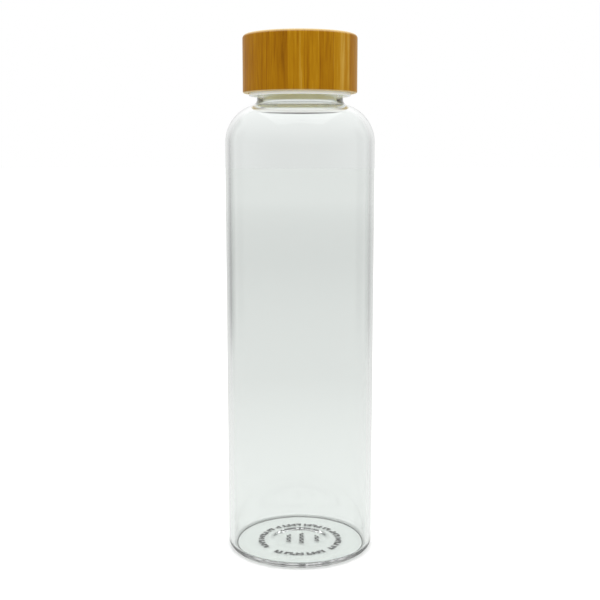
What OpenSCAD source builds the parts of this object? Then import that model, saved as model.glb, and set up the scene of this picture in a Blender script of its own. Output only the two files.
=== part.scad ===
// Glass water bottle with a bamboo screw lid.
//
// A thin borosilicate bottle with a threaded neck, and a turned bamboo lid that holds
// a threaded plastic insert, the glue that bonds it and a silicone ring seal.
// The bottle stands on z = 0 with its axis on +Z, and the lid is screwed down tight.
// All sizes are millimetres.

/* [Glass body] */
// Outside diameter of the body
body_d = 66; // [62:0.5:72]
// Height from the table to the top of the lid
overall_h = 231; // [210:1:260]
// Thickness of the body's wall
wall = 2.1; // [1.8:0.1:2.4]
// Thickness of the glass floor
floor_t = 1.8; // [1.6:0.1:2.6]
// Radius of the curve from the body to the neck
shoulder_r = 17; // [15:0.5:18]
// Thickness of the glass at the shoulder's crown
shoulder_t = 1.7; // [1.4:0.1:2]
// Radius of the curve from the body to the foot
heel_r = 3.2; // [2.8:0.1:4.2]

/* [Underside] */
// Height of the printed floor above the table
recess_h = 0.4; // [0.3:0.1:0.8]
// Diameter of the shallow kick-up in the middle, half way up its slope
kick_d = 25; // [20:0.5:32]
// How far the kick-up rises above the printed floor
kick_h = 0.45; // [0.2:0.05:0.6]

/* [Neck] */
// Outside diameter of the plain neck
neck_d = 37.8; // [37.4:0.1:38.2]
// Diameter of the mouth
mouth_d = 32.8; // [32.4:0.1:33.4]
// Height of the neck above the shoulder's crown
neck_h = 20.1; // [19.5:0.1:21]
// Radius of the fillet from the shoulder to the neck
neck_fillet = 2.5; // [2:0.25:3.5]

/* [Thread] */
// Rise of the thread in one turn
lead = 4.2; // [4:0.1:4.4]
// Turns of thread on the glass
glass_turns = 1.4; // [1.25:0.05:1.5]
// Turns of thread in the insert
insert_turns = 1.75; // [1.5:0.05:1.8]
// How far each thread stands out of its wall
thread_h = 1.2; // [1:0.05:1.2]
// Gap between a crest and the wall that it faces
crest_gap = 0.3; // [0.25:0.05:0.4]

/* [Lid] */
// Outside diameter of the bamboo
lid_d = 50.2; // [49.5:0.1:52]
// Height of the bamboo
lid_h = 25; // [24.5:0.1:26]
// Thickness of the bamboo over the insert
lid_top_t = 5.8; // [5.6:0.1:6]
// Radius of the lid's rounded top edge
lid_edge_r = 1.7; // [1:0.1:2]
// How far the insert's rim stands below the bamboo
rim_drop = 1.3; // [1:0.1:1.6]

/* [Seal] */
// Thickness of the silicone ring
seal_t = 1.7; // [1.5:0.1:1.9]

/* [Hidden] */
$fn = 96;

body_r = body_d / 2;
neck_r = neck_d / 2;
mouth_r = mouth_d / 2;
lid_r = lid_d / 2;
kick_r = kick_d / 2;

// The lid's stack, from its top face down to the lip of the glass.
seal_gap = 0.1;
insert_top_t = 1.2;
glue_t = 0.4;
bore_top_z = overall_h - lid_top_t;
insert_top_z = bore_top_z - glue_t;
insert_roof_z = insert_top_z - insert_top_t;
seal_z = insert_roof_z - seal_gap - seal_t;
lip_z = seal_z - seal_gap;
lid_z = overall_h - lid_h;
rim_z = lid_z - rim_drop;

// The bottle's shoulder, and the inside of the wall, which thins towards the shoulder's crown.
shoulder_z = lip_z - neck_h - shoulder_r;
floor_z = recess_h + floor_t;
lip_r = (neck_r - mouth_r) / 2;
in_r = body_r - wall;
in_shoulder_r = shoulder_r - shoulder_t;
in_fillet = 5.5;
in_heel_r = 1.2;

// The underside: a narrow ring to stand on, a step up to the printed floor at 45 degrees with
// both its corners rounded, and a kick-up that two equal arcs blend into the floor.
foot_r = body_r - heel_r;
foot_w = 0.4;
foot_edge_r = 0.2;
foot_in_r = foot_r - foot_w;
step_r = foot_in_r - recess_h - (sqrt(2) - 1) * 2 * foot_edge_r;
kick_w = 6;
kick_slope = 2 * atan(kick_h / kick_w);
kick_arc_r = kick_w / 2 / sin(kick_slope);

// The insert's wall, and the bamboo's bore round it.
insert_in_r = neck_r + thread_h + crest_gap;
insert_wall = 1.65;
insert_out_r = insert_in_r + insert_wall;
rib_h = 0.3;
rib_count = 48;
rib_gap = 0.1;
bore_r = insert_out_r + rib_h + rib_gap;
plug_gap = 0.6;
plug_t = 1.2;
plug_h = 4.8;
plug_r = mouth_r - plug_gap;
glue_bead = 1;

// Where the thread ridges run. Positions are of a ridge's middle.
thread_from_lip = 4.2;
thread_from_rim = 4.3;
thread_play = 0.35;
glass_thread_z = lip_z - thread_from_lip - glass_turns * lead;
insert_thread_z = rim_z + thread_from_rim;
glass_root_w = 2.2;
insert_root_w = 1.8;
ridge_bury = 0.4;
end_bury = 0.1;
fade_turn = 0.12;
steps_per_turn = 36;

// Points of an arc about [x, z], from angle a to angle b in n steps.
function arc(x, z, r, a, b, n) =
    [for (i = [0:n]) let (t = a + (b - a) * i / n) [x + r * cos(t), z + r * sin(t)]];

// The wall from the body's side, over the shoulder's arc and up a fillet into the neck, as one
// run of points. The fillet's centre is at dx and dz from the shoulder's.
function shoulder_run(side, arc_r, neck, fillet_r) =
    let (
        x = side - arc_r,
        dx = neck + fillet_r - x,
        dz = sqrt((arc_r + fillet_r) * (arc_r + fillet_r) - dx * dx),
        meet = atan2(dz, dx)
    )
    concat(
        arc(x, shoulder_z, arc_r, 0, meet, 14),
        arc(x + dx, shoulder_z + dz, fillet_r, 180 + meet, 180, 7)
    );

// The lip's rounding, from the outside of the neck over to the inside.
function lip_run() = arc((neck_r + mouth_r) / 2, lip_z - lip_r, lip_r, 0, 180, 10);

// Share of a ridge's full height at a point t of the way along it.
function fade(t, turns) =
    let (s = fade_turn / turns) min(1, t / s, (1 - t) / s);

// A helical ridge. root_r is the wall that it stands on, root_w is its width there, and side
// is 1 for an outside thread and -1 for an inside one. z is the height of its middle where
// it starts, and start is the angle there.
module ridge(root_r, side, root_w, turns, z, start) {
    n = round(turns * steps_per_turn);
    crest_w = root_w / 2;
    points = [
        for (i = [0:n])
            let (
                t = i / n,
                a = start + 360 * turns * t,
                h = z + lead * turns * t,
                base = root_r - side * ridge_bury,
                crest = root_r + side * ((thread_h + end_bury) * fade(t, turns) - end_bury)
            )
            for (p = [[base, -root_w], [crest, -crest_w], [crest, crest_w], [base, root_w]])
                [p[0] * cos(a), p[0] * sin(a), h + p[1] / 2]
    ];
    sides = [
        for (i = [0:n - 1])
            for (k = [0:3])
                let (j = (k + 1) % 4, p = 4 * i)
                side > 0 ? [p + k, p + j, p + 4 + j, p + 4 + k] : [p + k, p + 4 + k, p + 4 + j, p + j]
    ];
    first = side > 0 ? [3, 2, 1, 0] : [0, 1, 2, 3];
    last = [for (k = first) 4 * n + 3 - k];
    polyhedron(points, concat([first], sides, [last]), convexity = 6);
}

// One blown and pressed piece of glass: foot, floor, wall, shoulder, neck and thread.
module glass_bottle() {
    kick_z = recess_h + kick_h;
    outside = concat(
        [[0, kick_z]],
        arc(kick_r - kick_w / 2, kick_z - kick_arc_r, kick_arc_r, 90, 90 - kick_slope, 3),
        arc(kick_r + kick_w / 2, recess_h + kick_arc_r, kick_arc_r, 270 - kick_slope, 270, 3),
        arc(step_r, recess_h - foot_edge_r, foot_edge_r, 90, 45, 3),
        arc(foot_in_r, foot_edge_r, foot_edge_r, 225, 270, 3),
        arc(foot_r, heel_r, heel_r, -90, 0, 9),
        shoulder_run(body_r, shoulder_r, neck_r, neck_fillet)
    );
    inside = concat(
        [[0, floor_z]],
        arc(in_r - in_heel_r, floor_z + in_heel_r, in_heel_r, -90, 0, 9),
        shoulder_run(in_r, in_shoulder_r, mouth_r, in_fillet)
    );
    color("lightcyan", 0.35)
    union() {
        rotate_extrude()
        polygon(concat(outside, lip_run(), [for (i = [len(inside) - 1:-1:0]) inside[i]]));
        ridge(neck_r, 1, glass_root_w, glass_turns, glass_thread_z, 0);
    }
}

// The lid's outer shell, turned from a block of laminated bamboo and bored from below.
module bamboo_shell() {
    low_r = 0.7;
    bore_chamfer = 0.5;
    color("peru")
    rotate_extrude()
    polygon(concat(
        [[0, bore_top_z], [bore_r, bore_top_z]],
        [[bore_r, lid_z + bore_chamfer], [bore_r + bore_chamfer, lid_z]],
        arc(lid_r - low_r, lid_z + low_r, low_r, -90, 0, 4),
        arc(lid_r - lid_edge_r, overall_h - lid_edge_r, lid_edge_r, 0, 90, 7),
        [[0, overall_h]]
    ));
}

// The moulded insert: a cup with the lid's thread, a skirt that centres in the mouth,
// a bead that keeps the seal in, and ribs outside that the glue grips.
module threaded_insert() {
    bead_r = 0.3;
    bead_z = seal_z - 0.5;
    rim_r = 0.5;
    rim_out_r = insert_out_r + rib_h;
    rim_top_z = lid_z + 0.6;
    plug_z = insert_roof_z - plug_h;
    plug_lead_in = 0.4;
    rib_w = 0.8;
    rib_end = 2;
    helix_back = (glass_thread_z - lead / 2 + thread_play - insert_thread_z) / lead * 360;
    color("ivory")
    union() {
        rotate_extrude()
        polygon(concat(
            [[0, insert_roof_z], [plug_r - plug_t, insert_roof_z]],
            [[plug_r - plug_t, plug_z], [plug_r - plug_lead_in, plug_z]],
            [[plug_r, plug_z + 3 * plug_lead_in], [plug_r, insert_roof_z], [insert_in_r, insert_roof_z]],
            arc(insert_in_r, bead_z, bead_r, 90, 270, 4),
            arc(insert_in_r + rim_r, rim_z + rim_r, rim_r, 180, 270, 3),
            arc(rim_out_r - rim_r, rim_z + rim_r, rim_r, -90, 0, 3),
            [[rim_out_r, rim_top_z], [insert_out_r, rim_top_z + rib_h]],
            [[insert_out_r, insert_top_z - glue_bead], [insert_out_r - glue_bead, insert_top_z]],
            [[0, insert_top_z]]
        ));
        for (i = [0:rib_count - 1])
            rotate(i * 360 / rib_count)
            translate([insert_out_r - rib_h, -rib_w / 2, lid_z + rib_end])
            cube([2 * rib_h, rib_w, insert_top_z - lid_z - 2 * rib_end]);
        ridge(insert_in_r, -1, insert_root_w, insert_turns, insert_thread_z, -helix_back);
    }
}

// Cured glue: a disc over the insert's top, and the bead squeezed out round its edge.
module glue_bond() {
    color("wheat")
    rotate_extrude()
    polygon([
        [0, insert_top_z],
        [insert_out_r - glue_bead, insert_top_z],
        [insert_out_r, insert_top_z - glue_bead],
        [insert_out_r, bore_top_z],
        [0, bore_top_z]
    ]);
}

// The silicone ring that the lip of the glass presses against.
module silicone_seal() {
    fit_gap = 0.3;
    in_r = plug_r + fit_gap;
    out_r = insert_in_r - fit_gap;
    edge_r = 0.4;
    color("whitesmoke")
    rotate_extrude()
    polygon(concat(
        arc(in_r + edge_r, seal_z + edge_r, edge_r, 180, 270, 3),
        arc(out_r - edge_r, seal_z + edge_r, edge_r, -90, 0, 3),
        arc(out_r - edge_r, seal_z + seal_t - edge_r, edge_r, 0, 90, 3),
        arc(in_r + edge_r, seal_z + seal_t - edge_r, edge_r, 90, 180, 3)
    ));
}

glass_bottle();
bamboo_shell();
threaded_insert();
glue_bond();
silicone_seal();
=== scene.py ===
"""A glass water bottle with a bamboo screw lid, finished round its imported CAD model.

The file follows the bottle as it is put together: the glass, the print under its floor,
then the lid's plastic insert, its bamboo, the glue between them and the silicone seal.
Sizes are millimetres, turned to metres by mm, and angles are degrees.
"""
import math

import bmesh
import bpy
import numpy as np
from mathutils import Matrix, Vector


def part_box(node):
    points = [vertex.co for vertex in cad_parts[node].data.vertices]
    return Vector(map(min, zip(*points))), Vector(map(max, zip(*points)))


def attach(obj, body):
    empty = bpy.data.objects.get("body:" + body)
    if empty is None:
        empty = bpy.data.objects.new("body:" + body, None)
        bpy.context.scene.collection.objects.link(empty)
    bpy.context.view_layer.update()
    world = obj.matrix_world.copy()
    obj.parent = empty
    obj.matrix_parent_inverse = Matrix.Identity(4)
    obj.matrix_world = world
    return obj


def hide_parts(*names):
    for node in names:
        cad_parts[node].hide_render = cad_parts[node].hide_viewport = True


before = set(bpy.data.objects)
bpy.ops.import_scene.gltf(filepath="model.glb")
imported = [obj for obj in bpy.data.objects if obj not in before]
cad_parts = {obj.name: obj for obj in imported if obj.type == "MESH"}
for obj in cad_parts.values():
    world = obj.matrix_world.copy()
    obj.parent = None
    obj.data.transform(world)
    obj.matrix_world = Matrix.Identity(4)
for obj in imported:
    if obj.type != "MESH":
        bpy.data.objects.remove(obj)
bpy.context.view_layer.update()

mm = 0.001

# --- The glass bottle ---------------------------------------------------------------------
# One piece of borosilicate glass: a tube blown to a straight body, pressed to a recessed
# floor, and fire-polished at the lip. Its thread is moulded on the neck with the rest.

body_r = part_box("glass_bottle")[1].x / mm
lip_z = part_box("glass_bottle")[1].z / mm
wall = 2.1
neck_r = 18.9
mouth_r = 16.4
neck_h = 20.1
shoulder_r = 17
shoulder_t = 1.7
shoulder_z = lip_z - neck_h - shoulder_r
neck_fillet = 2.5
in_fillet = 5.5
heel_r = 3.2
in_heel_r = 1.2
recess_h = 0.4
floor_t = 1.8
foot_w = 0.4
foot_edge_r = 0.2
kick_r = 12.5
kick_h = 0.45
kick_w = 6

thread_lead = 4.2
thread_h = 1.2
thread_from_lip = 4.2
glass_turns = 1.4
glass_root_w = 2.2
glass_thread_z = lip_z - thread_from_lip - glass_turns * thread_lead

glass_sides = 240
glass_tint = "FBFDFC"
borosilicate_ior = 1.473


def arc(r, z, radius, start, end, step=6):
    """Points of an arc about (r, z), one every step degrees or closer."""
    count = max(2, math.ceil(abs(end - start) / step))
    turns = np.radians(np.linspace(start, end, count + 1))
    return [(r + radius * math.cos(t), z + radius * math.sin(t)) for t in turns]


def run(start, end, step):
    """Points between two places, one every step millimetres or closer, without the ends."""
    count = max(1, math.ceil(math.dist(start, end) / step))
    return [tuple(np.add(start, np.subtract(end, start) * i / count)) for i in range(1, count)]


def lathe(name, profile, sides):
    """A turned solid. The profile is (r, z) points in millimetres, either from axis to axis
    or a closed ring."""
    mesh = bmesh.new()
    turns = np.arange(sides) * math.tau / sides
    rings = []
    for r, z in profile:
        if r < 1e-6:
            rings.append([mesh.verts.new((0, 0, z * mm))] * sides)
        else:
            places = [(r * mm * math.cos(t), r * mm * math.sin(t), z * mm) for t in turns]
            rings.append([mesh.verts.new(place) for place in places])
    if profile[0][0] > 1e-6:
        rings.append(rings[0])
    for low, high in zip(rings, rings[1:]):
        for i in range(sides):
            j = (i + 1) % sides
            corners = [low[i], low[j], high[j], high[i]]
            mesh.faces.new(list(dict.fromkeys(corners)))
    bmesh.ops.recalc_face_normals(mesh, faces=mesh.faces)
    for face in mesh.faces:
        face.smooth = True
    data = bpy.data.meshes.new(name)
    mesh.to_mesh(data)
    mesh.free()
    piece = bpy.data.objects.new(name, data)
    bpy.context.collection.objects.link(piece)
    return piece


def srgb(code):
    """A hex colour such as "B47A1E" as linear red, green, blue and alpha."""
    parts = [int(code[i:i + 2], 16) / 255 for i in (0, 2, 4)]
    return [p / 12.92 if p <= 0.04045 else ((p + 0.055) / 1.055) ** 2.4 for p in parts] + [1.0]


def add(tree, kind, settings):
    """Adds one node to a tree. A setting is a property of the node, the value of an input, or
    the output that feeds an input. Inputs go by name or by number."""
    node = tree.nodes.new(kind)
    for key, value in settings.items():
        if isinstance(value, bpy.types.NodeSocket):
            tree.links.new(value, node.inputs[key])
        elif isinstance(key, str) and hasattr(node, key):
            setattr(node, key, value)
        else:
            node.inputs[key].default_value = value
    return node


def new_material(name):
    """An empty material, its tree, and where on the piece the tree is read."""
    material = bpy.data.materials.new(name)
    material.use_nodes = True
    tree = material.node_tree
    tree.nodes.clear()
    return material, tree, add(tree, "ShaderNodeTexCoord", {})


def finish_with(material, shader):
    """Sends a shader to the material's output."""
    add(material.node_tree, "ShaderNodeOutputMaterial", {"Surface": shader.outputs["BSDF"]})
    return material


def sized_tree(name, sizes):
    """A geometry tree that takes a mesh and the named sizes, and gives a mesh."""
    tree = bpy.data.node_groups.new(name, "GeometryNodeTree")
    sockets = tree.interface
    sockets.new_socket("Mesh", in_out="INPUT", socket_type="NodeSocketGeometry")
    for size in sizes:
        sockets.new_socket(size, in_out="INPUT", socket_type="NodeSocketFloat")
    sockets.new_socket("Material", in_out="INPUT", socket_type="NodeSocketMaterial")
    sockets.new_socket("Mesh", in_out="OUTPUT", socket_type="NodeSocketGeometry")
    return tree, add(tree, "NodeGroupInput", {})


def end_tree(tree, mesh, start):
    """Closes a geometry tree: real meshes only, with the material set."""
    real = add(tree, "GeometryNodeRealizeInstances", {0: mesh}).outputs[0]
    done = add(tree, "GeometryNodeSetMaterial", {"Geometry": real, "Material": start.outputs["Material"]})
    add(tree, "NodeGroupOutput", {0: done.outputs[0]})
    return tree


def apply_tree(piece, tree, sizes, material):
    """Runs a geometry tree on a piece and keeps the result as its plain mesh."""
    step = piece.modifiers.new(tree.name, "NODES")
    step.node_group = tree
    sockets = {s.name: s.identifier for s in tree.interface.items_tree if s.in_out == "INPUT"}
    for name, value in sizes.items():
        step[sockets[name]] = float(value)
    step[sockets["Material"]] = material
    seen = piece.evaluated_get(bpy.context.evaluated_depsgraph_get())
    shaped = bpy.data.meshes.new_from_object(seen)
    piece.modifiers.clear()
    piece.data = shaped
    shaped.name = piece.name


def wall_point(tree, start):
    """What a tree on a turned wall reads at a point: its turn about the axis in radians, its
    height, which way is outward, and 1 where the point is on the wall itself."""
    place = add(tree, "GeometryNodeInputPosition", {}).outputs[0]
    x, y, z = add(tree, "ShaderNodeSeparateXYZ", {0: place}).outputs
    across = add(tree, "ShaderNodeCombineXYZ", {0: x, 1: y}).outputs[0]
    radius = add(tree, "ShaderNodeVectorMath", {"operation": "LENGTH", 0: across}).outputs["Value"]
    outward = add(tree, "ShaderNodeVectorMath", {"operation": "NORMALIZE", 0: across}).outputs[0]
    turn = add(tree, "ShaderNodeMath", {"operation": "ARCTAN2", 0: y, 1: x}).outputs[0]
    reach_mm = 0.05
    near = {"operation": "COMPARE", 0: radius, 1: start.outputs["Wall radius"], 2: reach_mm * mm}
    return turn, z, outward, add(tree, "ShaderNodeMath", near).outputs[0]


def thread_tree():
    """Raises a helical ridge on a turned wall. Side is 1 outside a wall and -1 inside one."""
    sizes = ["Wall radius", "Side", "Height", "Root width", "Lead", "Turns", "Start height", "Start turn"]
    tree, start = sized_tree("screw_thread", sizes)
    size = start.outputs
    turn, z, outward, on_wall = wall_point(tree, start)

    # How many turns along the helix this point is, at the nearest pass of the ridge.
    whole = add(tree, "ShaderNodeMath", {"operation": "DIVIDE", 0: turn, 1: math.tau}).outputs[0]
    angle = add(tree, "ShaderNodeMath", {"operation": "SUBTRACT", 0: whole, 1: size["Start turn"]}).outputs[0]
    climb = add(tree, "ShaderNodeMath", {"operation": "SUBTRACT", 0: z, 1: size["Start height"]}).outputs[0]
    rise = add(tree, "ShaderNodeMath", {"operation": "DIVIDE", 0: climb, 1: size["Lead"]}).outputs[0]
    ahead = add(tree, "ShaderNodeMath", {"operation": "SUBTRACT", 0: rise, 1: angle}).outputs[0]
    passes = add(tree, "ShaderNodeMath", {"operation": "ROUND", 0: ahead}).outputs[0]
    along = add(tree, "ShaderNodeMath", {"operation": "ADD", 0: angle, 1: passes}).outputs[0]
    off = add(tree, "ShaderNodeMath", {"operation": "SUBTRACT", 0: rise, 1: along}).outputs[0]
    off_z = add(tree, "ShaderNodeMath", {"operation": "MULTIPLY", 0: off, 1: size["Lead"]}).outputs[0]
    beside = add(tree, "ShaderNodeMath", {"operation": "ABSOLUTE", 0: off_z}).outputs[0]

    # The ridge's section: a rounded crest, and flanks down to half its width at the root.
    crest_share = 0.22
    half = add(tree, "ShaderNodeMath", {"operation": "MULTIPLY", 0: size["Root width"], 1: 0.5}).outputs[0]
    crest = {"operation": "MULTIPLY", 0: size["Root width"], 1: crest_share}
    flank = add(tree, "ShaderNodeMapRange", {
        "interpolation_type": "SMOOTHSTEP",
        "Value": beside,
        "From Min": add(tree, "ShaderNodeMath", crest).outputs[0],
        "From Max": half,
        "To Min": 1,
        "To Max": 0,
    }).outputs[0]

    # Both ends fade in over a part of a turn.
    fade_turn = 0.12
    left = add(tree, "ShaderNodeMath", {"operation": "SUBTRACT", 0: size["Turns"], 1: along}).outputs[0]
    end = add(tree, "ShaderNodeMath", {"operation": "MINIMUM", 0: along, 1: left}).outputs[0]
    fade = {"interpolation_type": "SMOOTHSTEP", "Value": end, "From Max": fade_turn}
    faded = {"operation": "MULTIPLY", 0: flank, 1: add(tree, "ShaderNodeMapRange", fade).outputs[0]}
    full = {"operation": "MULTIPLY", 0: size["Height"], 1: size["Side"]}
    lift = {"operation": "MULTIPLY", 0: add(tree, "ShaderNodeMath", faded).outputs[0],
            1: add(tree, "ShaderNodeMath", full).outputs[0]}
    push = {"operation": "SCALE", 0: outward, "Scale": add(tree, "ShaderNodeMath", lift).outputs[0]}
    raised = add(tree, "GeometryNodeSetPosition", {
        "Geometry": start.outputs["Mesh"],
        "Selection": on_wall,
        "Offset": add(tree, "ShaderNodeVectorMath", push).outputs[0],
    })
    return end_tree(tree, raised.outputs[0], start)


def shoulder_run(side, radius, neck, fillet):
    """The curve from the body's side, over the shoulder's arc and up a fillet into the neck."""
    arc_r = side - radius
    centre_r = neck + fillet
    centre_z = shoulder_z + math.sqrt((radius + fillet) ** 2 - (centre_r - arc_r) ** 2)
    meet = math.degrees(math.atan2(centre_z - shoulder_z, centre_r - arc_r))
    return (arc(arc_r, shoulder_z, radius, 0, meet, 3)
            + arc(centre_r, centre_z, fillet, 180 + meet, 180, 6)[1:])


def glass_profile():
    """The bottle's half section, from the middle of the underside round to the middle of the
    floor. The inside of the wall thins towards the shoulder's crown."""
    in_r = body_r - wall
    floor_z = recess_h + floor_t
    kick_z = recess_h + kick_h
    kick_slope = 2 * math.degrees(math.atan(kick_h / kick_w))
    kick_arc_r = kick_w / 2 / math.sin(math.radians(kick_slope))
    kick_top = kick_r - kick_w / 2
    kick_foot = kick_r + kick_w / 2
    foot_r = body_r - heel_r
    foot_in_r = foot_r - foot_w
    step_r = foot_in_r - recess_h - (math.sqrt(2) - 1) * 2 * foot_edge_r
    lip_r = (neck_r - mouth_r) / 2
    underside = (
        [(0, kick_z)]
        + run((0, kick_z), (kick_top, kick_z), 2)
        + arc(kick_top, kick_z - kick_arc_r, kick_arc_r, 90, 90 - kick_slope, 1)
        + arc(kick_foot, recess_h + kick_arc_r, kick_arc_r, 270 - kick_slope, 270, 1)[1:]
        + run((kick_foot, recess_h), (step_r, recess_h), 2)
        + arc(step_r, recess_h - foot_edge_r, foot_edge_r, 90, 45, 7.5)
        + arc(foot_in_r, foot_edge_r, foot_edge_r, 225, 270, 7.5)
    )
    side = (
        arc(foot_r, heel_r, heel_r, -90, 0, 3)
        + run((body_r, heel_r), (body_r, shoulder_z), 4)
        + shoulder_run(body_r, shoulder_r, neck_r, neck_fillet)
    )
    lip_foot = (neck_r, lip_z - lip_r)
    lip = arc((neck_r + mouth_r) / 2, lip_z - lip_r, lip_r, 0, 180, 12)
    neck = run(side[-1], lip_foot, 0.2) + lip
    inside = (
        [(0, floor_z)]
        + run((0, floor_z), (in_r - in_heel_r, floor_z), 2)
        + arc(in_r - in_heel_r, floor_z + in_heel_r, in_heel_r, -90, 0, 3)
        + run((in_r, floor_z + in_heel_r), (in_r, shoulder_z), 4)
        + shoulder_run(in_r, shoulder_r - shoulder_t, mouth_r, in_fillet)
    )
    bore = run(inside[-1], (mouth_r, lip_z - lip_r), 1)
    return underside + side + neck + bore[::-1] + inside[::-1]


def clear_glass():
    """Clear borosilicate, blown: a hard, smooth surface with a faint cold tint, which shows
    most where the sight runs along the wall. Blowing leaves a slow, shallow ripple in it."""
    material, tree, where = new_material("blown_borosilicate_glass")
    ripple_mm = 22
    ripple_depth_mm = 0.1
    stretched = add(tree, "ShaderNodeMapping", {"Vector": where.outputs["Object"], "Scale": (1, 1, 0.4)})
    ripple = add(tree, "ShaderNodeTexNoise", {
        "Vector": stretched.outputs[0],
        "Scale": 1 / (ripple_mm * mm),
        "Detail": 1.0,
    })
    waves = add(tree, "ShaderNodeBump", {
        "Height": ripple.outputs[0],
        "Strength": 0.04,
        "Distance": ripple_depth_mm * mm,
    })
    shader = add(tree, "ShaderNodeBsdfPrincipled", {
        "Base Color": srgb(glass_tint),
        "Roughness": 0.0,
        "IOR": borosilicate_ior,
        "Transmission Weight": 1.0,
        "Normal": waves.outputs[0],
    })
    return finish_with(material, shader)


thread = thread_tree()
glass = lathe("blown_bottle", glass_profile(), glass_sides)
apply_tree(glass, thread, {
    "Wall radius": neck_r * mm,
    "Side": 1,
    "Height": thread_h * mm,
    "Root width": glass_root_w * mm,
    "Lead": thread_lead * mm,
    "Turns": glass_turns,
    "Start height": glass_thread_z * mm,
    "Start turn": 0,
}, clear_glass())
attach(glass, "bottle")
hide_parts("glass_bottle")

# --- The print under the floor --------------------------------------------------------------
# Dark grey ceramic ink, screen printed on the underside of the recessed floor and fired on.
# It reads as a ring of short marks with three small stacks of them in the middle.

ink_t = 0.06
ring_r = 18
ring_runs = ((-126, -55), (-40, 28), (40, 124), (138, 212))
mark_pitch = 8.2
mark_h = 2.7
mark_w = 1.15
short_h = 1.3
short_shift = 0.8
stacks = ((-5.3, 5), (0.7, 7), (7.8, 4))
row_pitch = 1.8
row_h = 2.3
row_less = 0.7
row_w = 0.8
bit_h = 0.9
bit_w = 1.2
bit_side = 0.5
bit_up = 0.8
ink_dark = "101211"
ink_thin = "2A2C2A"


def ring_marks():
    """The ring: where each block is, which way it is turned, and its length and width. A mark
    is a bold bar, and most have a short bar beside it, high or low."""
    marks = []
    for start, end in ring_runs:
        count = round((end - start) / mark_pitch)
        for i in range(count + 1):
            turn = math.radians(start + (end - start) * i / count)
            marks.append((ring_r * math.cos(turn), ring_r * math.sin(turn), recess_h, turn, mark_h, mark_w))
            if i % 4 != 1:
                beside = turn + mark_w / ring_r
                r = ring_r + short_shift * (1 - i % 3)
                marks.append((r * math.cos(beside), r * math.sin(beside), recess_h, beside, short_h, mark_w))
    return marks


def stack_marks():
    """The three stacks in the middle, in the same terms. A row is a bar, a long and a shorter
    one by turns, and a small block off its end."""
    marks = []
    face_z = recess_h + kick_h
    for x, rows in stacks:
        for i in range(rows):
            y = (i - (rows - 1) / 2) * row_pitch
            odd = i % 2
            marks.append((x, y, face_z, 0, row_h - row_less * odd, row_w))
            marks.append((x + bit_side * (1 - 2 * odd), y + bit_up, face_z, 0, bit_h, bit_w))
    return marks


def mark_tree():
    """Sets a thin block on every point, turned and sized by the point's own values."""
    tree, start = sized_tree("printed_marks", ["Thickness"])
    size = add(tree, "ShaderNodeCombineXYZ", {0: 1.0, 1: 1.0, 2: start.outputs["Thickness"]})
    block = add(tree, "GeometryNodeMeshCube", {"Size": size.outputs[0]})
    values = {}
    for name in ("turn", "long", "wide"):
        read = add(tree, "GeometryNodeInputNamedAttribute", {"data_type": "FLOAT", "Name": name})
        values[name] = read.outputs[0]
    turned = add(tree, "ShaderNodeCombineXYZ", {2: values["turn"]})
    scaled = add(tree, "ShaderNodeCombineXYZ", {0: values["long"], 1: values["wide"], 2: 1.0})
    spread = add(tree, "GeometryNodeInstanceOnPoints", {
        "Points": start.outputs["Mesh"],
        "Instance": block.outputs[0],
        "Rotation": turned.outputs[0],
        "Scale": scaled.outputs[0],
    })
    return end_tree(tree, spread.outputs[0], start)


def fired_ink():
    """Ceramic ink, screen printed and fired: matt, and slightly uneven where the screen left
    less of it. The screen's mesh is finer in truth than the pattern here, which has to show."""
    material, tree, where = new_material("fired_ceramic_ink")
    screen_mm = 0.35
    uneven = add(tree, "ShaderNodeTexNoise", {
        "Vector": where.outputs["Object"],
        "Scale": 1 / (screen_mm * mm),
        "Detail": 2.0,
    })
    shade = add(tree, "ShaderNodeMix", {
        "data_type": "RGBA",
        0: uneven.outputs[0],
        6: srgb(ink_dark),
        7: srgb(ink_thin),
    })
    shader = add(tree, "ShaderNodeBsdfPrincipled", {"Base Color": shade.outputs[2], "Roughness": 0.6})
    return finish_with(material, shader)


marks = ring_marks() + stack_marks()
points = bpy.data.meshes.new("printed_marks")
points.from_pydata([[v * mm for v in mark[:3]] for mark in marks], [], [])
for column, name, scale in ((3, "turn", 1), (4, "long", mm), (5, "wide", mm)):
    layer = points.attributes.new(name, "FLOAT", "POINT")
    layer.data.foreach_set("value", [mark[column] * scale for mark in marks])
ink = bpy.data.objects.new("printed_marks", points)
bpy.context.collection.objects.link(ink)
apply_tree(ink, mark_tree(), {"Thickness": ink_t * mm}, fired_ink())
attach(ink, "bottle")

# --- The threaded insert ----------------------------------------------------------------------
# Cream polypropylene, injection moulded: a cup with the lid's thread, a skirt that centres it
# in the mouth, a bead that keeps the seal in, and ribs outside that the glue grips.

insert_lo, insert_hi = (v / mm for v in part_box("threaded_insert"))
rim_z = insert_lo.z
insert_top_z = insert_hi.z
rim_r = insert_hi.x
rib_h = 0.3
ribs = 48
rib_foot = 1.2
rib_end = 2
insert_r = rim_r - rib_h
crest_gap = 0.3
insert_in_r = neck_r + thread_h + crest_gap
roof_t = 1.2
roof_z = insert_top_z - roof_t
rim_h = 1.9
rim_top_z = rim_z + rim_h
plug_gap = 0.6
plug_r = mouth_r - plug_gap
plug_t = 1.2
plug_h = 4.8
plug_z = roof_z - plug_h
plug_lead_in = 0.4
seal_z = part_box("silicone_seal")[0].z / mm
glue_bead = 1
insert_turns = 1.75
insert_root_w = 1.8
thread_from_rim = 4.3
insert_thread_z = rim_z + thread_from_rim
thread_play = 0.35

plastic_cream = "EDE5C4"
plastic_deep = "DCD2A8"
# painted highlight: the paler cream that the rim is given for the light it catches
plastic_rim_highlight = "FBFAF4"


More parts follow.
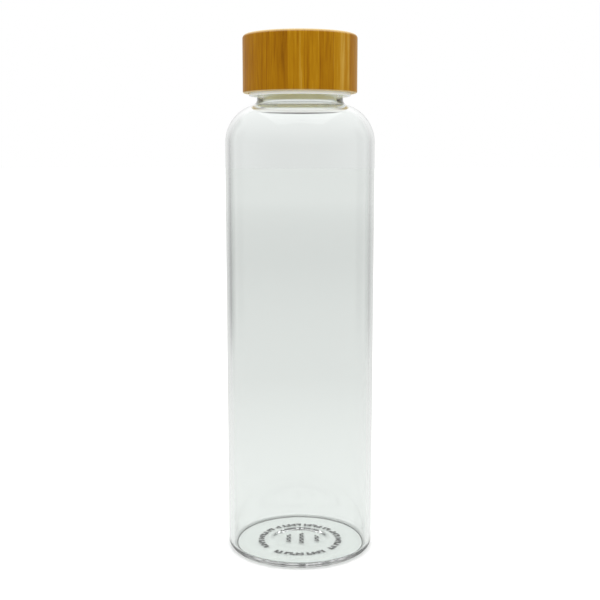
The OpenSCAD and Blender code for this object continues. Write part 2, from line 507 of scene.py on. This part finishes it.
def rib_tree():
    """Raises straight ribs on a turned wall, evenly round it."""
    tree, start = sized_tree("grip_ribs", ["Wall radius", "Height", "Ribs", "Low", "High"])
    size = start.outputs
    turn, z, outward, on_wall = wall_point(tree, start)
    phase = add(tree, "ShaderNodeMath", {"operation": "MULTIPLY", 0: turn, 1: size["Ribs"]}).outputs[0]
    wave = add(tree, "ShaderNodeMath", {"operation": "COSINE", 0: phase}).outputs[0]
    crown = add(tree, "ShaderNodeMapRange", {
        "interpolation_type": "SMOOTHSTEP",
        "Value": wave,
        "From Min": -0.1,
        "From Max": 0.6,
    }).outputs[0]
    lift = add(tree, "ShaderNodeMath", {"operation": "MULTIPLY", 0: crown, 1: size["Height"]}).outputs[0]
    push = add(tree, "ShaderNodeVectorMath", {"operation": "SCALE", 0: outward, "Scale": lift}).outputs[0]
    over = add(tree, "ShaderNodeMath", {"operation": "GREATER_THAN", 0: z, 1: size["Low"]}).outputs[0]
    under = add(tree, "ShaderNodeMath", {"operation": "LESS_THAN", 0: z, 1: size["High"]}).outputs[0]
    within = add(tree, "ShaderNodeMath", {"operation": "MULTIPLY", 0: over, 1: under}).outputs[0]
    raised = add(tree, "GeometryNodeSetPosition", {
        "Geometry": start.outputs["Mesh"],
        "Selection": add(tree, "ShaderNodeMath", {"operation": "MULTIPLY", 0: on_wall, 1: within}).outputs[0],
        "Offset": push,
    })
    return end_tree(tree, raised.outputs[0], start)


def insert_profile():
    """The insert's half section, from the middle of its roof round to the middle of its top."""
    bead_r = 0.3
    bead_drop = 0.5
    bead_z = seal_z - bead_drop
    edge = 0.5
    plug_edge_r = 0.3
    plug_in_r = plug_r - plug_t
    inner = (
        [(0, roof_z), (plug_in_r, roof_z)]
        + arc(plug_in_r + plug_edge_r, plug_z + plug_edge_r, plug_edge_r, 180, 270, 30)
        + [(plug_r - plug_lead_in, plug_z), (plug_r, plug_z + 3 * plug_lead_in)]
        + [(plug_r, roof_z), (insert_in_r, roof_z)]
        + arc(insert_in_r, bead_z, bead_r, 90, 270, 30)
    )
    thread_wall = run((insert_in_r, bead_z - bead_r), (insert_in_r, rim_z + edge), 0.25)
    rim = (
        arc(insert_in_r + edge, rim_z + edge, edge, 180, 270, 15)
        + arc(rim_r - edge, rim_z + edge, edge, -90, 0, 15)
        + [(rim_r, rim_top_z), (insert_r, rim_top_z + rib_h)]
    )
    outer = run((insert_r, rim_top_z + rib_h), (insert_r, insert_top_z - glue_bead), 1)
    top = [(insert_r, insert_top_z - glue_bead), (insert_r - glue_bead, insert_top_z), (0, insert_top_z)]
    return inner + thread_wall + rim + outer + top


def cream_polypropylene():
    """Polypropylene, injection moulded: soft-looking and a little see-through, with a satin
    skin from the mould. Its rim is painted paler, a painted highlight for the light it catches
    where it is thin and open. The mould's grain is drawn coarser than it is, so that it shows."""
    material, tree, where = new_material("moulded_polypropylene")
    place = where.outputs["Object"]
    flow_mm = 6
    rim_blend_mm = 0.7
    grain_mm = 0.4
    grain_depth_mm = 0.02
    flow = add(tree, "ShaderNodeTexNoise", {"Vector": place, "Scale": 1 / (flow_mm * mm), "Detail": 2.0})
    body = add(tree, "ShaderNodeMix", {
        "data_type": "RGBA",
        0: flow.outputs[0],
        6: srgb(plastic_cream),
        7: srgb(plastic_deep),
    })
    # Painted highlight: the colour pales towards the rim, for the light the thin rim catches.
    height = add(tree, "ShaderNodeSeparateXYZ", {0: place}).outputs[2]
    rim_highlight_mask = add(tree, "ShaderNodeMapRange", {
        "Value": height,
        "From Min": rim_top_z * mm,
        "From Max": (rim_top_z - rim_blend_mm) * mm,
    })
    shade = add(tree, "ShaderNodeMix", {
        "data_type": "RGBA",
        0: rim_highlight_mask.outputs[0],
        6: body.outputs[2],
        7: srgb(plastic_rim_highlight),
    })
    grain = add(tree, "ShaderNodeTexNoise", {"Vector": place, "Scale": 1 / (grain_mm * mm), "Detail": 1.0})
    skin = add(tree, "ShaderNodeBump", {
        "Height": grain.outputs[0],
        "Strength": 0.2,
        "Distance": grain_depth_mm * mm,
    })
    shader = add(tree, "ShaderNodeBsdfPrincipled", {
        "Base Color": shade.outputs[2],
        "Roughness": 0.34,
        "IOR": 1.49,
        "Subsurface Weight": 0.3,
        "Subsurface Radius": (1.0, 0.9, 0.6),
        "Subsurface Scale": 1.2 * mm,
        "Normal": skin.outputs[0],
    })
    return finish_with(material, shader)


cream_plastic = cream_polypropylene()
insert = lathe("moulded_insert", insert_profile(), 6 * ribs)
start_turn = -(glass_thread_z - thread_lead / 2 + thread_play - insert_thread_z) / thread_lead
apply_tree(insert, thread, {
    "Wall radius": insert_in_r * mm,
    "Side": -1,
    "Height": thread_h * mm,
    "Root width": insert_root_w * mm,
    "Lead": thread_lead * mm,
    "Turns": insert_turns,
    "Start height": insert_thread_z * mm,
    "Start turn": start_turn,
}, cream_plastic)
apply_tree(insert, rib_tree(), {
    "Wall radius": insert_r * mm,
    "Height": rib_h * mm,
    "Ribs": ribs,
    "Low": (rim_top_z + rib_foot) * mm,
    "High": (insert_top_z - rib_end) * mm,
}, cream_plastic)
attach(insert, "lid")
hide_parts("threaded_insert")

# --- The bamboo lid ---------------------------------------------------------------------------
# A block of bamboo strips, glued side by side with their fibres upright, then turned, bored
# from below, sanded round at the edges and sealed with a satin lacquer.

bamboo_lo, bamboo_hi = (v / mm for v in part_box("bamboo_shell"))
lid_r = bamboo_hi.x
lid_z = bamboo_lo.z
top_z = bamboo_hi.z
rib_gap = 0.1
bore_r = rim_r + rib_gap
bore_top_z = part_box("glue_bond")[1].z / mm
bore_chamfer = 0.5
top_edge_r = 1.7
low_edge_r = 0.7

lid_sides = 192
strip_w = 6.4
strip_d = 17
block_turn = -24
bamboo_tones = ((0.0, "7C4A04"), (0.35, "A36B06"), (0.65, "B8820E"), (1.0, "D2A94E"))
glue_line_tint = "CDAE84"
# the end grain's own paler tone, mixed with a painted highlight on the top bevel
end_grain_and_highlight_tone = "EAD6A4"


def bamboo_profile():
    """The shell's half section, from the middle of its bore round to the middle of its top."""
    bevel = 0.1
    corner = (bore_r, bore_top_z - bevel)
    return (
        [(0, bore_top_z), (bore_r - bevel, bore_top_z), corner]
        + run(corner, (bore_r, lid_z + bore_chamfer), 3)
        + [(bore_r, lid_z + bore_chamfer), (bore_r + bore_chamfer, lid_z)]
        + arc(lid_r - low_edge_r, lid_z + low_edge_r, low_edge_r, -90, 0, 15)
        + run((lid_r, lid_z + low_edge_r), (lid_r, top_z - top_edge_r), 3)
        + arc(lid_r - top_edge_r, top_z - top_edge_r, top_edge_r, 0, 90, 7.5)
        + run((lid_r - top_edge_r, top_z), (0, top_z), 3)
        + [(0, top_z)]
    )


def laminated_bamboo():
    """Caramel bamboo under satin lacquer. Each strip has its own tone, long soft streaks and fine
    dark fibre bundles, which run upright and show as dots where the top cuts them across."""
    material, tree, where = new_material("lacquered_bamboo")
    turned = add(tree, "ShaderNodeMapping", {
        "Vector": where.outputs["Object"],
        "Location": (2.1 * mm, 4 * mm, 0),
        "Rotation": (0, 0, math.radians(block_turn)),
    }).outputs[0]

    # The strips: which one a point is in, and how near it is to a glue line.
    counted = add(tree, "ShaderNodeMapping", {
        "Vector": turned,
        "Scale": (1 / (strip_w * mm), 1 / (strip_d * mm), 0),
    }).outputs[0]
    strip = add(tree, "ShaderNodeVectorMath", {"operation": "FLOOR", 0: counted}).outputs[0]
    part = add(tree, "ShaderNodeVectorMath", {"operation": "FRACTION", 0: counted}).outputs[0]
    tone = add(tree, "ShaderNodeTexWhiteNoise", {"Vector": strip}).outputs["Value"]
    part_x = add(tree, "ShaderNodeSeparateXYZ", {0: part}).outputs[0]
    off = add(tree, "ShaderNodeMath", {"operation": "SUBTRACT", 0: part_x, 1: 0.5}).outputs[0]
    edge = add(tree, "ShaderNodeMath", {"operation": "ABSOLUTE", 0: off}).outputs[0]
    glue_line = add(tree, "ShaderNodeMapRange", {"Value": edge, "From Min": 0.48, "From Max": 0.5}).outputs[0]

    # Streaks a few millimetres wide, and fibre bundles under a millimetre apart.
    broad_mm, fine_mm, bundle_mm = 2.6, 0.55, 0.8
    shifted = add(tree, "ShaderNodeVectorMath", {
        "operation": "MULTIPLY_ADD",
        0: strip,
        1: (0.013, 0.017, 0.0),
        2: turned,
    }).outputs[0]
    upright = add(tree, "ShaderNodeMapping", {"Vector": shifted, "Scale": (1, 1, 0.045)}).outputs[0]
    streaks = []
    for width in (broad_mm, fine_mm):
        streak = add(tree, "ShaderNodeTexNoise", {
            "Vector": upright,
            "Scale": 1 / (width * mm),
            "Detail": 2.0,
            "Roughness": 0.6,
        })
        streaks.append(streak.outputs[0])
    broad, fine = streaks
    bundle = add(tree, "ShaderNodeTexVoronoi", {"Vector": upright, "Scale": 1 / (bundle_mm * mm)})
    dots = add(tree, "ShaderNodeMapRange", {
        "Value": bundle.outputs["Distance"],
        "From Min": 0.3,
        "From Max": 0.12,
    }).outputs[0]

    # The share between the dark and the light wood, with the weight of each of the four.
    share = -0.34
    for source, weight in ((broad, 0.95), (fine, 0.5), (tone, 0.34), (dots, -0.16)):
        weighed = {"operation": "MULTIPLY_ADD", 0: source, 1: weight, 2: share}
        share = add(tree, "ShaderNodeMath", weighed).outputs[0]
    wood = add(tree, "ShaderNodeValToRGB", {"Fac": share})
    ramp = wood.color_ramp
    for stop, (at, code) in enumerate(bamboo_tones):
        if stop > 1:
            ramp.elements.new(at)
        ramp.elements[stop].position = at
        ramp.elements[stop].color = srgb(code)
    seam = add(tree, "ShaderNodeMix", {
        "data_type": "RGBA",
        "blend_type": "MULTIPLY",
        0: glue_line,
        6: wood.outputs["Color"],
        7: srgb(glue_line_tint),
    })

    # The sanded edges and the end grain, above and below, are paler than the sides: partly the end grain's
    # own tone, partly a painted highlight for the light the top bevel catches from above.
    facing = add(tree, "ShaderNodeSeparateXYZ", {0: where.outputs["Normal"]}).outputs[2]
    level = add(tree, "ShaderNodeMath", {"operation": "ABSOLUTE", 0: facing}).outputs[0]
    end_grain_and_highlight_mask = add(tree, "ShaderNodeMapRange", {
        "Value": level,
        "From Min": 0.3,
        "From Max": 0.85,
        "To Max": 0.75,
    })
    end_grain_and_highlight_wood = add(tree, "ShaderNodeMix", {
        "data_type": "RGBA",
        0: end_grain_and_highlight_mask.outputs[0],
        6: seam.outputs[2],
        7: srgb(end_grain_and_highlight_tone),
    })

    rough = add(tree, "ShaderNodeMapRange", {"Value": fine, "To Min": 0.42, "To Max": 0.3}).outputs[0]
    grain = add(tree, "ShaderNodeBump", {"Height": fine, "Strength": 0.35, "Distance": 0.06 * mm})
    shader = add(tree, "ShaderNodeBsdfPrincipled", {
        "Base Color": end_grain_and_highlight_wood.outputs[2],
        "Roughness": rough,
        "IOR": 1.5,
        "Specular IOR Level": 0.06,
        "Normal": grain.outputs[0],
    })
    return finish_with(material, shader)


bamboo = lathe("turned_bamboo", bamboo_profile(), lid_sides)
bamboo.data.materials.append(laminated_bamboo())
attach(bamboo, "lid")
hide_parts("bamboo_shell")

# --- The glue bond ------------------------------------------------------------------------------
# Clear epoxy, poured in the bore before the insert is pushed home. It cures amber, and it keeps
# the small bubbles that were stirred into it.

epoxy_amber = "D9BE86"
epoxy_bubble = "F0E3C4"


def cured_epoxy():
    """Epoxy, poured and cured: glossy amber, with tiny bubbles as pale specks."""
    material, tree, where = new_material("cured_epoxy")
    bubble_mm = 1.1
    cells = add(tree, "ShaderNodeTexVoronoi", {
        "Vector": where.outputs["Object"],
        "Scale": 1 / (bubble_mm * mm),
    })
    bubbles = add(tree, "ShaderNodeMapRange", {
        "Value": cells.outputs["Distance"],
        "From Min": 0.22,
        "From Max": 0.12,
    }).outputs[0]
    shade = add(tree, "ShaderNodeMix", {
        "data_type": "RGBA",
        0: bubbles,
        6: srgb(epoxy_amber),
        7: srgb(epoxy_bubble),
    })
    skin = add(tree, "ShaderNodeBump", {"Height": bubbles, "Strength": 0.3, "Distance": 0.05 * mm})
    shader = add(tree, "ShaderNodeBsdfPrincipled", {
        "Base Color": shade.outputs[2],
        "Roughness": 0.15,
        "IOR": 1.55,
        "Normal": skin.outputs[0],
    })
    return finish_with(material, shader)


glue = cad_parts["glue_bond"]
glue.data.materials.clear()
glue.data.materials.append(cured_epoxy())

# --- The silicone seal --------------------------------------------------------------------------
# A flat ring of translucent white silicone, cut from moulded sheet. It sits under the roof of
# the insert, held by a bead, and the lip of the glass presses up against it.

seal_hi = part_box("silicone_seal")[1] / mm
seal_out_r = seal_hi.x
seal_top_z = seal_hi.z
seal_fit_gap = 0.3
seal_in_r = plug_r + seal_fit_gap
seal_edge_r = 0.4

silicone_white = "E9E9E4"
silicone_dust = "DADAD3"


def seal_profile():
    """The ring's whole section."""
    left = seal_in_r + seal_edge_r
    right = seal_out_r - seal_edge_r
    return (
        arc(left, seal_z + seal_edge_r, seal_edge_r, 180, 270, 15)
        + run((left, seal_z), (right, seal_z), 0.6)
        + arc(right, seal_z + seal_edge_r, seal_edge_r, -90, 0, 15)
        + arc(right, seal_top_z - seal_edge_r, seal_edge_r, 0, 90, 15)
        + run((right, seal_top_z), (left, seal_top_z), 0.6)
        + arc(left, seal_top_z - seal_edge_r, seal_edge_r, 90, 180, 15)
    )


def white_silicone():
    """Food-grade silicone, moulded in sheet: milky and matt, with a fine grain that holds dust.
    The grain is drawn coarser than it is, so that it shows."""
    material, tree, where = new_material("white_silicone")
    grain_mm = 0.5
    grain_depth_mm = 0.02
    grain = add(tree, "ShaderNodeTexNoise", {
        "Vector": where.outputs["Object"],
        "Scale": 1 / (grain_mm * mm),
        "Detail": 2.0,
    }).outputs[0]
    shade = add(tree, "ShaderNodeMix", {
        "data_type": "RGBA",
        0: grain,
        6: srgb(silicone_white),
        7: srgb(silicone_dust),
    })
    skin = add(tree, "ShaderNodeBump", {"Height": grain, "Strength": 0.25, "Distance": grain_depth_mm * mm})
    shader = add(tree, "ShaderNodeBsdfPrincipled", {
        "Base Color": shade.outputs[2],
        "Roughness": 0.55,
        "IOR": 1.41,
        "Subsurface Weight": 0.4,
        "Subsurface Radius": (1.0, 1.0, 0.9),
        "Subsurface Scale": 1.0 * mm,
        "Normal": skin.outputs[0],
    })
    return finish_with(material, shader)


seal = lathe("silicone_ring", seal_profile(), lid_sides)
seal.data.materials.append(white_silicone())
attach(seal, "seal")
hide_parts("silicone_seal")

# --- The studio ---------------------------------------------------------------------------------
# A white table that runs out of sight, a white room that is greyer on the camera's side, one
# soft light overhead, and two dark cards behind the bottle, which the camera doesn't see, that
# give the glass its edges. Sizes here are metres.

table_r = 12
table_sides = 64
ceiling_level = 1.27
lamp_high = 1.1
lamp_wide = 1.2
lamp_power = 3
flag_far = 0.34
flag_h = 0.36
camera_far = 0.452
camera_high = 0.180
camera_pitch = 8.27
camera_lens = 60.58


def white_table():
    """Painted board, matt and nearly plain. As the glass sees it, its colour holds a painted pool of light
    under the bottle, greyer a little way off, and far away a painted reflection that pales it again; the
    camera itself sees it white."""
    material, tree, where = new_material("white_table_paint")
    distance = {"operation": "LENGTH", 0: where.outputs["Object"]}
    away = add(tree, "ShaderNodeVectorMath", distance).outputs["Value"]
    # Painted pool of light: paler under the bottle, as if lit by the lamp overhead, greyer a little way off.
    light_pool_falloff = add(tree, "ShaderNodeMapRange", {"Value": away, "From Min": 0.08, "From Max": 0.35})
    near = add(tree, "ShaderNodeMix", {
        "data_type": "RGBA",
        0: light_pool_falloff.outputs[0],
        6: srgb("D6D7D6"),
        7: srgb("CACBCA"),
    })
    # Painted reflection: far off, the board pales again, as if it mirrored the bright room at a low angle.
    far_reflection_mask = add(tree, "ShaderNodeMapRange", {"Value": away, "From Min": 1.2, "From Max": 3.4})
    shade = add(tree, "ShaderNodeMix", {
        "data_type": "RGBA",
        0: far_reflection_mask.outputs[0],
        6: near.outputs[2],
        7: srgb("D7D8D7"),
    })
    exposed = add(tree, "ShaderNodeMix", {
        "data_type": "RGBA",
        0: add(tree, "ShaderNodeLightPath", {}).outputs["Is Camera Ray"],
        6: shade.outputs[2],
        7: srgb("FDFDFD"),
    })
    shader = add(tree, "ShaderNodeBsdfPrincipled", {
        "Base Color": exposed.outputs[2],
        "Roughness": 0.9,
        "Specular IOR Level": 0.0,
    })
    return finish_with(material, shader)


def dark_card(density):
    """Matt black card, faded out at its foot and its inner end, and thinned towards its head."""
    material, tree, where = new_material("black_card")
    x, _, height = add(tree, "ShaderNodeSeparateXYZ", {0: where.outputs["Object"]}).outputs
    beside = add(tree, "ShaderNodeMath", {"operation": "ABSOLUTE", 0: x}).outputs[0]
    foot = {"interpolation_type": "SMOOTHSTEP", "Value": height, "From Min": 0.01, "From Max": 0.07}
    head = {"Value": height, "From Min": 0.1, "From Max": 0.25, "To Min": 1.0, "To Max": 0.45}
    inner = {"Value": beside, "From Min": 0.15, "From Max": 0.24, "To Max": density}
    cover = add(tree, "ShaderNodeMapRange", inner).outputs[0]
    for part in (foot, head):
        share = add(tree, "ShaderNodeMapRange", part).outputs[0]
        cover = add(tree, "ShaderNodeMath", {"operation": "MULTIPLY", 0: cover, 1: share}).outputs[0]
    shader = add(tree, "ShaderNodeBsdfPrincipled", {
        "Base Color": srgb("1E1F1E"),
        "Roughness": 0.9,
        "Alpha": cover,
    })
    return finish_with(material, shader)


def flag(name, turn_from, turn_to, density):
    """A dark card behind the bottle. Turns are degrees from straight behind."""
    turns = [math.radians(t) for t in (turn_from, turn_to)]
    ends = [(flag_far * math.sin(t), flag_far * math.cos(t)) for t in turns]
    data = bpy.data.meshes.new(name)
    data.from_pydata([(x, y, z) for z in (0.001, flag_h) for x, y in ends], [], [(0, 1, 3, 2)])
    card = bpy.data.objects.new(name, data)
    card.data.materials.append(dark_card(density))
    card.visible_camera = False
    card.visible_diffuse = False
    card.visible_shadow = False
    bpy.context.collection.objects.link(card)


def studio_room():
    """The room's light. The camera sees plain white, and the bottle sees a bright back and
    ceiling with a greyer front."""
    world = bpy.data.worlds.new("studio_room")
    bpy.context.scene.world = world
    world.use_nodes = True
    tree = world.node_tree
    tree.nodes.clear()
    way = add(tree, "ShaderNodeTexCoord", {}).outputs["Generated"]
    _, way_y, way_z = add(tree, "ShaderNodeSeparateXYZ", {0: way}).outputs
    back = add(tree, "ShaderNodeMapRange", {
        "Value": way_y,
        "From Min": -0.8,
        "From Max": 0.0,
        "To Min": 0.6,
        "To Max": 0.8,
    })
    above = add(tree, "ShaderNodeMapRange", {"Value": way_z, "From Max": 0.8})
    level = add(tree, "ShaderNodeMix", {
        "data_type": "FLOAT",
        0: above.outputs[0],
        2: back.outputs[0],
        3: ceiling_level,
    })
    strength = add(tree, "ShaderNodeMix", {
        "data_type": "FLOAT",
        0: add(tree, "ShaderNodeLightPath", {}).outputs["Is Camera Ray"],
        2: level.outputs[0],
        3: 1.0,
    })
    light = add(tree, "ShaderNodeBackground", {"Color": srgb("FFFFFF"), "Strength": strength.outputs[0]})
    add(tree, "ShaderNodeOutputWorld", {"Surface": light.outputs[0]})


table_mesh = bpy.data.meshes.new("table")
turns = np.linspace(0, math.tau, table_sides, endpoint=False)
rim = [(table_r * math.cos(t), table_r * math.sin(t), 0) for t in turns]
table_mesh.from_pydata(rim, [], [list(range(table_sides))])
table = bpy.data.objects.new("table", table_mesh)
bpy.context.collection.objects.link(table)
table.data.materials.append(white_table())

studio_room()
lamp_data = bpy.data.lights.new("top_box", "AREA")
lamp_data.shape = "RECTANGLE"
lamp_data.size = lamp_wide
lamp_data.size_y = lamp_wide
lamp_data.energy = lamp_power
lamp = bpy.data.objects.new("top_box", lamp_data)
lamp.location = (0, 0, lamp_high)
lamp.rotation_euler = Vector((0, 0, -lamp_high)).to_track_quat("-Z", "Y").to_euler()
lamp.visible_camera = False
bpy.context.collection.objects.link(lamp)
flag("left_flag", -60, -27, 0.55)
flag("right_flag", 27, 60, 0.34)

camera_data = bpy.data.cameras.new("camera")
camera_data.lens = camera_lens
camera_data.sensor_width = 36
camera = bpy.data.objects.new("camera", camera_data)
camera.location = (0, -camera_far, camera_high)
camera.rotation_euler = (math.radians(90 - camera_pitch), 0, 0)
bpy.context.collection.objects.link(camera)
bpy.context.scene.camera = camera
bpy.context.scene.view_settings.view_transform = "Standard"
bpy.context.scene.cycles.max_bounces = 32
bpy.context.scene.cycles.transmission_bounces = 32
bpy.context.scene.cycles.glossy_bounces = 12
bpy.context.scene.cycles.blur_glossy = 0.0
